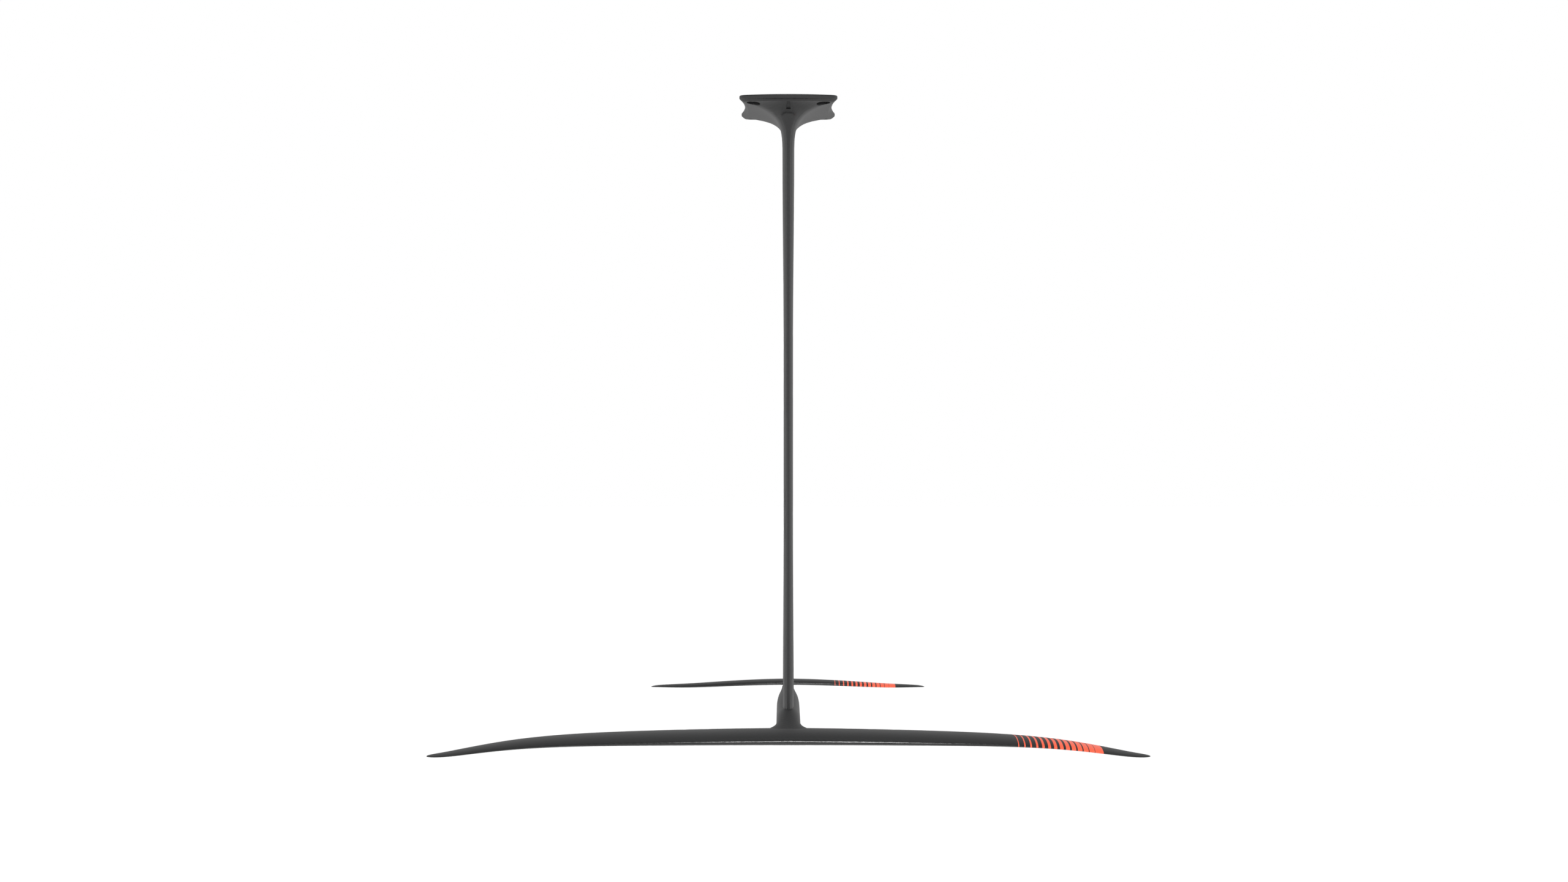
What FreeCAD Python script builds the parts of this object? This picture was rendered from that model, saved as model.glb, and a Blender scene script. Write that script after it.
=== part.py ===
"""Hydrofoil for a foil board, as an assembly of separate pieces.

A moulded mast with its own board plate plugs into the centre body of the front wing.
A tail boom plugs into the back of that body and carries the stabiliser.
Row frame: +X to the right of someone looking along the direction of the water flow, +Y with the flow,
+Z up, origin on the board face of the plate at the middle of its four bolt slots. Millimetres.
"""

import FreeCAD
import Part
import Sketcher
import math
import os
from FreeCAD import Placement, Rotation, Vector

DOC = FreeCAD.newDocument("hydrofoil")
SHEET = DOC.addObject("Spreadsheet::Sheet", "Sizes")

# Driving dimensions: alias, value in millimetres (or degrees, or a plain number), meaning.
SIZES = [
    ("plate_length", 206.0, "board plate, front to back along its middle"),
    ("plate_width", 130.0, "board plate, across its widest stretch"),
    ("plate_bow", 10.0, "how far the middle of each end stands past its corners"),
    ("plate_corner", 10.0, "board plate, corner radius"),
    ("waist_depth", 8.1, "how far each long side is drawn in"),
    ("waist_length", 194.0, "stretch over which each long side is drawn in"),
    ("plate_rim", 8.0, "thickness of the plate inside its bevelled rim"),
    ("rim_edge", 3.7, "lower end of the rim's upright edge, below the board face"),
    ("rim_round", 1.3, "rounding round the board face"),
    ("rim_bevel", 4.9, "width of the rounded bevel under the rim"),
    ("flare_depth", 92.0, "height of the flare between rim and blade"),
    ("flare_spread", 12.2, "how fast the flare closes in on the blade"),
    ("flare_fall", 2.44, "how slowly the flare leaves the plate"),
    ("slot_across", 90.0, "bolt slots, centre to centre across the board"),
    ("slot_along", 165.0, "bolt slots, centre to centre along the board"),
    ("slot_width", 8.6, "bolt slot, width for an M8 bolt"),
    ("slot_length", 12.0, "bolt slot, end to end"),
    ("recess_width", 14.6, "bolt head recess, width"),
    ("recess_length", 18.0, "bolt head recess, end to end"),
    ("slot_flange", 4.0, "carbon left between bolt head and board"),
    ("groove_width", 5.8, "moulded groove in the front of the flare, width at its foot"),
    ("groove_top_width", 3.7, "width of that groove at the rim"),
    ("groove_depth", 1.6, "depth of that groove"),
    ("groove_foot", 16.0, "lower end of that groove below the board face"),
    ("mast_length", 790.0, "board face down to the centre body"),
    ("mast_ahead", 62.0, "blade nose ahead of the origin, at the flare"),
    ("foot_ahead", 57.0, "blade nose ahead of the origin, at the foot"),
    ("chord_top", 125.0, "blade chord at the flare"),
    ("chord_foot", 118.0, "blade chord at the foot"),
    ("thick_top", 15.1, "blade thickness at the flare"),
    ("thick_middle", 11.9, "blade thickness along the middle"),
    ("thick_foot", 13.9, "blade thickness at the foot"),
    ("blade_edge", 1.4, "thickness of the blade's trailing edge"),
    ("thin_from", 60.0, "depth where the upper blade starts to thin"),
    ("thin_to", 325.0, "depth where the blade is at its thinnest"),
    ("swell_from", 560.0, "depth where the lower blade starts to swell"),
    ("swell_to", 790.0, "depth where the blade has its foot thickness"),
    ("mast_skin", 1.7, "carbon over the blade's foam cores"),
    ("core_top", 105.0, "top of the mast's foam cores, below the board face"),
    ("core_foot_gap", 38.0, "solid carbon above the centre body"),
    ("tenon_depth", 24.5, "how deep the mast plugs into the centre body"),
    ("socket_gap", 0.15, "clearance round a plugged joint"),
    ("wing_span", 922.0, "front wing, tip to tip"),
    ("wing_chord", 140.0, "front wing chord at the middle"),
    ("wing_ahead", 151.0, "front wing nose ahead of the mast's foot"),
    ("wing_below", 25.2, "front wing nose below the top of the centre body"),
    ("wing_thick", 0.112, "front wing thickness over chord at the middle"),
    ("wing_thick_tip", 0.0655, "front wing thickness over chord at a tip"),
    ("wing_camber", 0.02, "front wing camber over chord"),
    ("wing_sweep", 35.0, "how far the tips are swept back"),
    ("wing_drop", 29.0, "how far the tips hang below the middle"),
    ("wing_arch", 0.41, "share of the drop that is an even arch; the rest bends the tips"),
    ("wing_skin", 1.5, "carbon over the front wing's foam cores"),
    ("wing_core_end", 350.0, "outer end of each foam core from the middle"),
    ("tail_span", 407.0, "stabiliser, tip to tip"),
    ("tail_chord", 68.0, "stabiliser chord at the middle"),
    ("tail_reach", 4.0, "how far the stabiliser reaches past the end of the tail boom"),
    ("tail_below", 9.2, "stabiliser chord line below the top of the centre body"),
    ("tail_thick", 0.108, "stabiliser thickness over chord at the middle"),
    ("tail_thick_tip", 0.094, "stabiliser thickness over chord at a tip"),
    ("tail_sweep", 18.0, "how far the stabiliser's tips are swept back"),
    ("tail_drop", 9.5, "how far the stabiliser's tips hang"),
    ("tail_arch", 1.475, "the same share; above one, the tips turn up again"),
    ("edge_thick", 0.7, "trailing edge of wing and stabiliser"),
    ("body_width", 31.0, "centre body, width"),
    ("body_nose_width", 22.3, "centre body, width at its buried nose"),
    ("body_height", 36.0, "centre body, height at the mast"),
    ("body_front", 135.0, "how far the centre body reaches ahead of the mast"),
    ("body_rear", 51.0, "how far the centre body reaches behind the mast"),
    ("body_level", 12.0, "how far behind the blade's nose the centre body has its full section"),
    ("body_bury", 1.5, "how far the body's nose lies under the wing's skin"),
    ("body_roundness", 2.7, "exponent of the body's section: 2 is an ellipse, more is squarer"),
    ("root_fillet", 10.8, "fillet between centre body and wing, across and up"),
    ("fillet_fade", 60.0, "stretch over which that fillet fades towards the wing's trailing edge"),
    ("fillet_bury", 0.9, "how far the fillet's foot lies under the wing's skin"),
    ("boom_length", 334.0, "tail boom behind the centre body"),
    ("boom_tail_width", 15.7, "tail boom, width at its tail"),
    ("boom_tail_height", 13.0, "tail boom, height under the stabiliser"),
    ("boom_cap", 16.0, "length of the boom's rounded tail"),
    ("boom_skin", 2.4, "carbon over the boom's foam core"),
    ("boom_core_front", 14.0, "solid carbon between the boom's shoulder and its core"),
    ("boom_core_rear", 16.0, "solid carbon between the core and the stabiliser's pad"),
    ("pad_cut", 3.0, "how deep the pad is cut into the boom's crown"),
    ("spigot_width", 19.6, "boom spigot, across and up"),
    ("spigot_length", 41.0, "boom spigot, length"),
    ("spigot_corner", 3.0, "boom spigot, corner radius"),
    ("seat_length", 62.0, "stabiliser seat, front to back"),
    ("seat_width", 13.6, "stabiliser seat, across"),
    ("seat_step", 1.2, "how far the seat stands off the stabiliser"),
    ("shim_thick", 2.0, "stabiliser shim"),
    ("hole_gap", 0.25, "radial clearance of a bolt in its hole"),
    ("thread_gap", 0.05, "radial clearance that stands for a thread's play"),
    ("bond_gap", 0.02, "glue line round a bonded insert"),
    ("head_sink", 0.3, "least depth of a stabiliser bolt's head under the skin"),
    ("bolt_tip", 0.8, "chamfer at the end of a bolt"),
    ("mast_bolt_radius", 3.0, "mast bolt, M6 shank"),
    ("mast_bolt_head", 6.0, "mast bolt, head radius"),
    ("mast_bolt_length", 35.0, "mast bolt, with its head"),
    ("mast_bolt_key", 4.0, "mast bolt, hexagon across flats"),
    ("mast_bolt_front", 29.0, "front mast bolt behind the foot's nose"),
    ("mast_bolt_pitch", 33.0, "mast bolts, centre to centre"),
    ("mast_insert_radius", 4.8, "mast insert, outer radius"),
    ("mast_insert_length", 30.0, "mast insert, length"),
    ("mast_insert_depth", 28.0, "mast insert, depth of its thread"),
    ("cup_radius", 7.4, "cup washer, outer radius"),
    ("cup_height", 4.6, "cup washer, height"),
    ("cup_sink", 1.6, "cup washer below the belly of the body"),
    ("boom_bolt_radius", 3.0, "boom bolt, M6 shank"),
    ("boom_bolt_head", 6.0, "boom bolt, head radius"),
    ("boom_bolt_length", 22.0, "boom bolt, with its head"),
    ("boom_bolt_key", 4.0, "boom bolt, hexagon across flats"),
    ("boom_bolt_pitch", 20.0, "boom bolts, centre to centre"),
    ("boom_bolt_inset", 10.0, "rear boom bolt ahead of the body's end"),
    ("nut_radius", 5.0, "barrel nut, radius"),
    ("nut_length", 17.0, "barrel nut, length"),
    ("tail_bolt_radius", 2.5, "stabiliser bolt, M5 shank"),
    ("tail_bolt_head", 5.0, "stabiliser bolt, head radius"),
    ("tail_bolt_length", 18.0, "stabiliser bolt, with its head"),
    ("tail_bolt_key", 3.0, "stabiliser bolt, hexagon across flats"),
    ("tail_bolt_front", 18.0, "front stabiliser bolt behind the nose"),
    ("tail_bolt_pitch", 26.0, "stabiliser bolts, centre to centre"),
    ("tail_insert_radius", 4.0, "stabiliser insert, outer radius"),
    ("tail_insert_length", 9.0, "stabiliser insert, length"),
]

# Exponents of the shape laws: chord against span inside and out, arch of the drop, bend of the tips.
POWERS = {"wing": (2.2, 0.45, 1.58, 6.4), "tail": (1.8, 0.4465, 1.77, 6.0)}
# Half thickness of a foil of thickness one, over five: the root's factor, then those of each power.
FOIL = (0.2969, -0.1260, -0.3516, 0.2843, -0.1036)
# Exponents of the fillet's curve and of the curve under the plate's rim; one is a straight line.
FILLET_POWER = 2.8
RIM_POWER = 1.4
# Shares of a wing's chord or span.
CHORD_FLOOR = 0.02
PIVOT_SHARE = 0.45
TIP_SHARE = 0.9985
CAMBER_PLACE = 0.4
BLUNTEST_EDGE = 0.4
MAST_CORES = {"front": (0.10, 0.42), "rear": (0.47, 0.80)}
WING_CORE = (0.12, 0.68)
# Shares of a fastener or of a narrow piece.
KEY_DEPTH = 0.42
SEAT_ROUNDING = 0.45
# The boom's taper and its fall are smooth steps that would end at these shares of its length.
BOOM_TAPER_END = 1.25
BOOM_FALL_END = 0.95
CAP_TURNS = (15, 30, 45, 60, 72, 84)
# A cutter runs this far past the face that it opens.
OVERCUT = 1.0
# Steps along each curve; those of the plate's half outline add up to half of the blade's.
OUTLINE_STEPS = 96
PLATE_END_STEPS = 8
PLATE_CORNER_STEPS = 6
PLATE_SIDE_STEPS = 20
PLATE_CROWDING = 0.6
PLATE_REAR_FLAT = 0.2
SECTION_STEPS = 56
SPAN_STEPS = 12
FLARE_STEPS = 15
RIM_STEPS = 4
BODY_STEPS = 36
BODY_TURNS = 96
BOOM_TURNS = 64
BLADE_STEPS = 18
BOOM_STEPS = 18
CORE_STEPS = 8
GROOVE_STEPS = 6
SOLIDS = {}


def fill_sheet():
    """Write every driving dimension into the spreadsheet and give its cell an alias."""
    for row, (alias, value, meaning) in enumerate(SIZES, start=1):
        SHEET.set(f"A{row}", meaning)
        SHEET.set(f"B{row}", str(value))
        SHEET.setAlias(f"B{row}", alias)
    DOC.recompute()


fill_sheet()


class Size:
    """Reads a driving dimension from the sheet as an attribute, and remembers it."""

    def __getattr__(self, alias):
        value = float(SHEET.get(alias))
        setattr(self, alias, value)
        return value


S = Size()


# --- places that several pieces share -------------------------------------------------------------


def body_top():
    """Height of the top of the centre body."""
    return -S.mast_length


def body_belly():
    """Height of the underside of the centre body at the mast."""
    return body_top() - S.body_height


def foot_nose():
    """Front of the mast's foot."""
    return -S.foot_ahead


def body_end():
    """Back face of the centre body, where the tail boom starts."""
    return foot_nose() + S.chord_foot + S.body_rear


def boom_end():
    """Rear end of the tail boom."""
    return body_end() + S.boom_length


def socket_floor():
    """Floor of the mast's socket."""
    return body_top() - S.tenon_depth - S.socket_gap


def mast_bolt_places():
    """Fore-and-aft places of the two mast bolts."""
    front = foot_nose() + S.mast_bolt_front
    return {"front": front, "rear": front + S.mast_bolt_pitch}


def cup_floor():
    """Height of the lower face of the cup washers, sunk in the belly."""
    return body_belly() + S.cup_sink


def boom_bolt_places():
    """Fore-and-aft places of the two boom bolts."""
    rear = body_end() - S.boom_bolt_inset
    return {"front": rear - S.boom_bolt_pitch, "rear": rear}


def boom_axis():
    """Height of the middle of the boom's spigot."""
    return body_top() - S.body_height / 2


def tail_nose():
    """Front of the stabiliser at the middle."""
    return boom_end() + S.tail_reach - S.tail_chord


def tail_nose_text():
    """The same place as an expression of the sheet."""
    body = "Sizes.chord_foot - Sizes.foot_ahead + Sizes.body_rear"
    return f"{body} + Sizes.boom_length + Sizes.tail_reach - Sizes.tail_chord"


def tail_line():
    """Height of the stabiliser's chord line at the middle."""
    return body_top() - S.tail_below


def seat_face():
    """Height of the flat underside of the stabiliser's seat."""
    return tail_line() - S.tail_thick * S.tail_chord / 2 - S.seat_step


def pad_face():
    """Height of the flat pad on the boom, under the shim."""
    return seat_face() - S.shim_thick


def seat_front():
    """Front end of the stabiliser's seat, shim and pad."""
    return tail_nose() + (S.tail_chord - S.seat_length) / 2


def tail_bolt_places():
    """Fore-and-aft places of the two stabiliser bolts."""
    front = tail_nose() + S.tail_bolt_front
    return {"front": front, "rear": front + S.tail_bolt_pitch}


# --- shape laws -----------------------------------------------------------------------------------


def smooth_step(value, start, end):
    """0 before start, 1 after end, and an even S in between."""
    t = min(1.0, max(0.0, (value - start) / (end - start)))
    return t * t * (3 - 2 * t)


def half_thickness(share):
    """Half thickness of a foil section at a share of the chord, for a thickness of one."""
    root, *rest = FOIL
    powers = sum(factor * share**power for power, factor in enumerate(rest, start=1))
    return 5 * (root * math.sqrt(share) + powers)


def half_thickness_text(share):
    """The same law as an expression of the sheet."""
    root, *rest = FOIL
    powers = "".join(f" + ({factor}) * ({share})^{power}" for power, factor in enumerate(rest, start=1))
    return f"5 * ({root} * sqrt({share}){powers})"


def camber_line(share, camber):
    """Height of the camber line at a share of the chord, for a chord of one."""
    p = CAMBER_PLACE
    if share < p:
        return camber / p**2 * (2 * p * share - share**2)
    return camber / (1 - p) ** 2 * ((1 - 2 * p) + 2 * p * share - share**2)


def section_shares(count):
    """Side and share of the points of a section, from its upper trailing edge round the nose."""
    for step in range(count + 1):
        turn = 2 * math.pi * step / count
        yield (1 if turn <= math.pi else -1), (1 + math.cos(turn)) / 2


def smooth_curve(points, closed=False, shares=None):
    """A smooth curve through the points, at even steps or at given shares, and back again if closed."""
    count = len(points) if closed else len(points) - 1
    curve = Part.BSplineCurve()
    curve.interpolate(
        Points=points,
        PeriodicFlag=closed,
        Parameters=shares or [i / count for i in range(count + 1)],
    )
    return curve


def spline_loop(points):
    """A closed wire: a smooth curve, parted in the middle, where a nose is, and a straight edge back."""
    curve = smooth_curve(points)
    halves = [curve.toShape(0.0, 0.5), curve.toShape(0.5, 1.0)]
    return Part.Wire(halves + [Part.LineSegment(points[-1], points[0]).toShape()])


def steps_between(first, last, count):
    """Evenly spaced values from the first to the last."""
    return [first + (last - first) * k / count for k in range(count + 1)]


def lofted(wires, ruled=False):
    """A closed solid through a row of wires, facing outwards."""
    solid = Part.makeLoft(wires, True, ruled)
    if solid.Volume < 0:
        solid.reverse()
    return solid


def skinned(rings):
    """The solid inside a smooth skin through closed rings of points, with flat ends."""
    gaps = [sum((b - a).Length for a, b in zip(*pair)) for pair in zip(rings, rings[1:])]
    shares = [sum(gaps[:i]) / sum(gaps) for i in range(len(rings))]
    along = [smooth_curve(list(line), shares=shares) for line in zip(*rings)]
    around = [smooth_curve(list(ring), closed=True) for ring in zip(*(c.getPoles() for c in along))]
    poles = [list(line) for line in zip(*(curve.getPoles() for curve in around))]
    ring, line = around[0], along[0]
    surface = Part.BSplineSurface()
    surface.buildFromPolesMultsKnots(
        poles,
        ring.getMultiplicities(),
        line.getMultiplicities(),
        ring.getKnots(),
        line.getKnots(),
        True,
        False,
        ring.Degree,
        line.Degree,
    )
    skin = surface.toShape()
    ends = [Part.Face(Part.Wire([edge])) for edge in skin.Edges if edge.isClosed()]
    shell = Part.Shell([skin] + ends)
    shell.sewShape()
    solid = Part.Solid(shell)
    if solid.Volume < 0:
        solid.reverse()
    return solid


def as_solid(shape):
    """The single solid in the result of a boolean operation."""
    solids = shape.removeSplitter().Solids
    if len(solids) != 1:
        raise RuntimeError(f"expected one solid and got {len(solids)}")
    return solids[0]


def upright_cylinder(radius, height, y, bottom):
    """A cylinder about a vertical axis in the middle plane."""
    return Part.makeCylinder(radius, height, Vector(0, y, bottom))


def box_between(low, high):
    """A box from its lowest corner to its highest."""
    size = high - low
    return Part.makeBox(size.x, size.y, size.z, low)


def keep(label, shape):
    """Put a sub-part whose shape is made above into the document."""
    feature = DOC.addObject("Part::Feature", label)
    feature.Label = label
    feature.Shape = shape
    feature.Placement = Placement()
    SOLIDS[label] = feature


# --- mast and board plate -------------------------------------------------------------------------


def blade_at(depth):
    """Nose place, chord and thickness of the blade at a depth below the board face."""
    down = (depth - S.plate_rim) / (S.mast_length - S.plate_rim)
    nose = -S.mast_ahead + (S.mast_ahead - S.foot_ahead) * min(1.0, down)
    chord = S.chord_top + (S.chord_foot - S.chord_top) * min(1.0, down)
    thick = S.thick_top
    thick += (S.thick_middle - S.thick_top) * smooth_step(depth, S.thin_from, S.thin_to)
    thick += (S.thick_foot - S.thick_middle) * smooth_step(depth, S.swell_from, S.swell_to)
    return nose, chord, thick


def blade_half(share, thick):
    """Half thickness of the blade at a share of its chord, trailing edge included."""
    return thick * half_thickness(share) + S.blade_edge / 2 * share


def blade_outline(depth, grow=0.0):
    """Points of the blade's section as (x, y), grown outwards by a clearance."""
    nose, chord, thick = blade_at(depth)
    nose, chord, thick = nose - grow, chord + 2 * grow, thick + 2 * grow
    return [
        (side * blade_half(share, thick), nose + chord * share)
        for side, share in section_shares(OUTLINE_STEPS)
    ]


def waisted(x, y):
    """Draw a point of the plate's outline in at the waist."""
    fade = max(0.0, 1 - (y / (S.waist_length / 2)) ** 2)
    return x * (1 - S.waist_depth / (S.plate_width / 2) * fade)


def crowded(count, ends):
    """Shares from 0 to 1 that stand closer together at one end, or at both."""
    turns = [math.pi * ends * k / count for k in range(count + 1)]
    return [(turn - PLATE_CROWDING * math.sin(turn)) / (math.pi * ends) for turn in turns]


def plate_half(half_x, half_y, radius):
    """One side of a rectangle with round corners, from the middle of its rear edge to its front."""
    inner_x, inner_y = half_x - radius, half_y - radius
    flat = PLATE_REAR_FLAT * half_x
    rear = [(inner_x - (inner_x - flat) * u, half_y) for u in crowded(PLATE_END_STEPS, 1)]
    side = [(half_x, inner_y * (1 - 2 * u)) for u in crowded(PLATE_SIDE_STEPS, 2)]
    front = [(inner_x * (1 - u), -half_y) for u in crowded(PLATE_END_STEPS, 1)]
    turns = [math.pi / 2 * k / PLATE_CORNER_STEPS for k in range(1, PLATE_CORNER_STEPS)]
    corner = [(inner_x + radius * math.sin(t), inner_y + radius * math.cos(t)) for t in turns]
    mirrored = [(x, -y) for x, y in reversed(corner)]
    return rear[::-1] + corner + side + mirrored + front


def plate_outline(inset=0.0):
    """Points of the plate's outline as (x, y), matched one to one with the blade's."""
    half_x = S.plate_width / 2 - inset
    half_y = S.plate_length / 2 - S.plate_bow - inset
    right = []
    for x, y in plate_half(half_x, half_y, S.plate_corner - inset):
        bow = S.plate_bow * (1 - (x / half_x) ** 2)
        right.append((waisted(x, y), y + math.copysign(bow, y)))
    return right + [(-x, y) for x, y in reversed(right[:-1])]


def flat_wire(points, z):
    """A closed wire at one height."""
    return spline_loop([Vector(x, y, z) for x, y in points])


def between(first, second, share):
    """Points part of the way from one outline to another."""
    return [
        (a + (c - a) * share, b + (d - b) * share) for (a, b), (c, d) in zip(first, second)
    ]


def flare():
    """The hollow trumpet that joins the blade to the plate."""
    rim = plate_outline(S.rim_bevel)
    blade = blade_outline(S.plate_rim + S.flare_depth)
    wires = []
    for turn in steps_between(0.0, math.pi / 2, FLARE_STEPS):
        spread = abs(math.cos(turn)) ** S.flare_spread
        drop = math.sin(turn) ** S.flare_fall
        wires.append(
            flat_wire(between(blade, rim, spread), -S.plate_rim - S.flare_depth * drop)
        )
    return lofted(wires)


def rim():
    """The plate's rim: rounded above, then an upright edge, and a wide rounded bevel below."""
    levels = []
    for turn in steps_between(0.0, math.pi / 2, RIM_STEPS):
        levels.append((S.rim_round * (1 - math.sin(turn)), S.rim_round * (1 - math.cos(turn))))
    for share in steps_between(0.0, 1.0, RIM_STEPS):
        depth = S.rim_edge + (S.plate_rim - S.rim_edge) * share
        levels.append((S.rim_bevel * share**RIM_POWER, depth))
    return lofted([flat_wire(plate_outline(inset), -depth) for inset, depth in levels], ruled=True)


def blade():
    """The blade from the flare down to the foot of its tenon."""
    top = S.plate_rim + S.flare_depth
    foot = S.mast_length + S.tenon_depth
    depths = steps_between(top, foot, BLADE_STEPS)
    return lofted([flat_wire(blade_outline(depth), -depth) for depth in depths])


def stadium(length, width, x, y, bottom, top):
    """An upright slot with round ends, lying across the board."""
    straight = (length - width) / 2
    body = box_between(
        Vector(x - straight, y - width / 2, bottom), Vector(x + straight, y + width / 2, top)
    )
    for end in (x - straight, x + straight):
        body = body.fuse(Part.makeCylinder(width / 2, top - bottom, Vector(end, y, bottom)))
    return body.removeSplitter()


def board_slots():
    """The four bolt slots and the recesses for the bolt heads, as cutters."""
    cutters = []
    deep = S.plate_rim + S.flare_depth
    for x in (-S.slot_across / 2, S.slot_across / 2):
        for y in (-S.slot_along / 2, S.slot_along / 2):
            cutters.append(stadium(S.slot_length, S.slot_width, x, y, -deep, OVERCUT))
            cutters.append(
                stadium(S.recess_length, S.recess_width, x, y, -deep, -S.slot_flange)
            )
    return cutters


def flare_point(depth):
    """The front of the flare, in the middle plane, at a depth below the board face."""
    turn = math.asin(((depth - S.plate_rim) / S.flare_depth) ** (1 / S.flare_fall))
    spread = math.cos(turn) ** S.flare_spread
    rim_front = S.rim_bevel - S.plate_length / 2
    return Vector(0, -S.mast_ahead + (rim_front + S.mast_ahead) * spread, -depth)


def flare_front_groove():
    """A shallow moulded groove down the front of the flare, as a cutter that follows its curve."""
    wires = []
    for share in steps_between(0.0, 1.0, GROOVE_STEPS):
        depth = S.plate_rim + (S.groove_foot - S.plate_rim) * (0.1 + 0.9 * share) ** 2
        place = flare_point(depth)
        along = (flare_point(depth + S.socket_gap) - place).normalize()
        outward = Vector(0, along.z, -along.y)
        half = Vector((S.groove_top_width + (S.groove_width - S.groove_top_width) * share) / 2, 0, 0)
        low, high = place - outward * S.groove_depth, place + outward * S.groove_width
        corners = [low - half, low + half, high + half, high - half]
        wires.append(Part.makePolygon(corners + corners[:1]))
    return lofted(wires, ruled=True)


def core_depths():
    """Depths of the sections of a mast core."""
    return steps_between(S.core_top, S.mast_length - S.core_foot_gap, CORE_STEPS)


def mast_core(front, back):
    """A foam core between two shares of the blade's chord, one skin inside its surface."""
    wires = []
    for depth in core_depths():
        nose, chord, thick = blade_at(depth)
        right = [
            Vector(blade_half(u, thick) - S.mast_skin, nose + chord * u, -depth)
            for u in steps_between(front, back, CORE_STEPS)
        ]
        left = [Vector(-p.x, p.y, p.z) for p in reversed(right)]
        wires.append(four_sided(right, left))
    return lofted(wires)


def four_sided(first, second):
    """A closed wire of two smooth curves joined by straight edges."""
    edges = [smooth_curve(points).toShape() for points in (first, second)]
    return Part.Wire(
        [
            edges[0],
            Part.LineSegment(first[-1], second[0]).toShape(),
            edges[1],
            Part.LineSegment(second[-1], first[0]).toShape(),
        ]
    )


def mast():
    """Mast and board plate in one moulding, and the foam cores in its blade."""
    cores = {f"mast_core_{end}": mast_core(*shares) for end, shares in MAST_CORES.items()}
    body = as_solid(rim().fuse([flare(), blade()]))
    foot = -S.mast_length - S.tenon_depth
    bores = [
        upright_cylinder(S.mast_insert_radius + S.bond_gap, S.mast_insert_length, y, foot)
        for y in mast_bolt_places().values()
    ]
    body = body.cut(board_slots() + [flare_front_groove()] + bores + list(cores.values()))
    keep("mast", as_solid(body))
    for label, core in cores.items():
        keep(label, core)


# --- front wing, centre body and stabiliser -------------------------------------------------------


def wing_law(kind, share):
    """Chord, sweep, drop and thickness ratio of a wing at a share of its half span."""
    chord, sweep, drop, arch, thick, tip = {
        "wing": (S.wing_chord, S.wing_sweep, S.wing_drop, S.wing_arch, S.wing_thick, S.wing_thick_tip),
        "tail": (S.tail_chord, S.tail_sweep, S.tail_drop, S.tail_arch, S.tail_thick, S.tail_thick_tip),
    }[kind]
    inner, outer, even, bend = POWERS[kind]
    taper = max(CHORD_FLOOR, (1 - share**inner) ** outer)
    fall = arch * share**even + (1 - arch) * (1 - (1 - share**bend) ** 2)
    return chord * taper, sweep * share**2, drop * fall, thick + (tip - thick) * share


def wing_frame(kind, x):
    """Nose place, nose height, chord, thickness ratio and camber of a wing's section at x."""
    span, root, nose, line, camber = {
        "wing": (
            S.wing_span,
            S.wing_chord,
            foot_nose() - S.wing_ahead,
            body_top() - S.wing_below,
            S.wing_camber,
        ),
        "tail": (S.tail_span, S.tail_chord, tail_nose(), tail_line(), 0.0),
    }[kind]
    chord, sweep, drop, ratio = wing_law(kind, min(1.0, abs(x) / (span / 2)))
    return nose + PIVOT_SHARE * (root - chord) + sweep, line - drop, chord, ratio, camber


def wing_surface(kind, x, share, side):
    """A point on a wing's skin: side is 1 on top and -1 underneath."""
    nose, line, chord, ratio, camber = wing_frame(kind, x)
    edge = min(S.edge_thick, ratio * chord * BLUNTEST_EDGE)
    half = chord * ratio * half_thickness(share) + edge / 2 * share
    return Vector(x, nose + chord * share, line + chord * camber_line(share, camber) + side * half)


def wing_section(kind, x):
    """The closed wire of a wing's section: a curve above and one below, and the trailing edge."""
    points = [wing_surface(kind, x, share, side) for side, share in section_shares(SECTION_STEPS)]
    nose = SECTION_STEPS // 2
    shares = [i / nose for i in range(nose + 1)]
    down = Vector(0, 0, -1)
    upper, lower = Part.BSplineCurve(), Part.BSplineCurve()
    upper.interpolate(Points=points[: nose + 1], Parameters=shares, FinalTangent=down)
    lower.interpolate(Points=points[nose:], Parameters=shares, InitialTangent=down)
    edge = Part.LineSegment(points[-1], points[0])
    return Part.Wire([upper.toShape(), lower.toShape(), edge.toShape()])


def wing_solid(kind, span):
    """A wing of two halves, each lofted through sections that stand closer towards its tip."""
    halves = []
    for side in (-1, 1):
        turns = steps_between(0.0, math.pi / 2, SPAN_STEPS)
        places = [side * math.sin(turn) * TIP_SHARE * span / 2 for turn in turns]
        halves.append(lofted([wing_section(kind, x) for x in places]))
    return halves[0].fuse(halves[1])


def wing_core(side):
    """The foam core of one half of the front wing, one skin inside its surface."""
    inner = S.body_width / 2 + S.root_fillet
    wires = []
    for x in steps_between(side * inner, side * S.wing_core_end, CORE_STEPS):
        top, under = [], []
        for share in steps_between(*WING_CORE, CORE_STEPS):
            high, low = (wing_surface("wing", x, share, face) for face in (1, -1))
            top.append(high - Vector(0, 0, S.wing_skin))
            under.insert(0, low + Vector(0, 0, S.wing_skin))
        wires.append(four_sided(top, under))
    return lofted(wires)


def wing_height(y, side):
    """Height of the front wing's skin in the middle plane at a place along the flow."""
    nose, line, chord, _, _ = wing_frame("wing", 0.0)
    share = min(1.0, max(0.0, (y - nose) / chord))
    return wing_surface("wing", 0.0, share, side).z


def body_section(y):
    """Half width, top and bottom of the centre body at a place along the flow."""
    nose, full = foot_nose() - S.body_front, foot_nose() + S.body_level
    buried_top = wing_height(nose, 1) - S.body_bury
    wing_line = body_top() - S.wing_below
    top = buried_top + (body_top() - buried_top) * smooth_step(y, nose, full)
    belly = wing_line + (body_belly() - wing_line) * smooth_step(y, nose, foot_nose())
    wide = smooth_step(y, nose, foot_nose() - S.body_front / 3)
    width = S.body_nose_width + (S.body_width - S.body_nose_width) * wide
    return width / 2, top, belly


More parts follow.
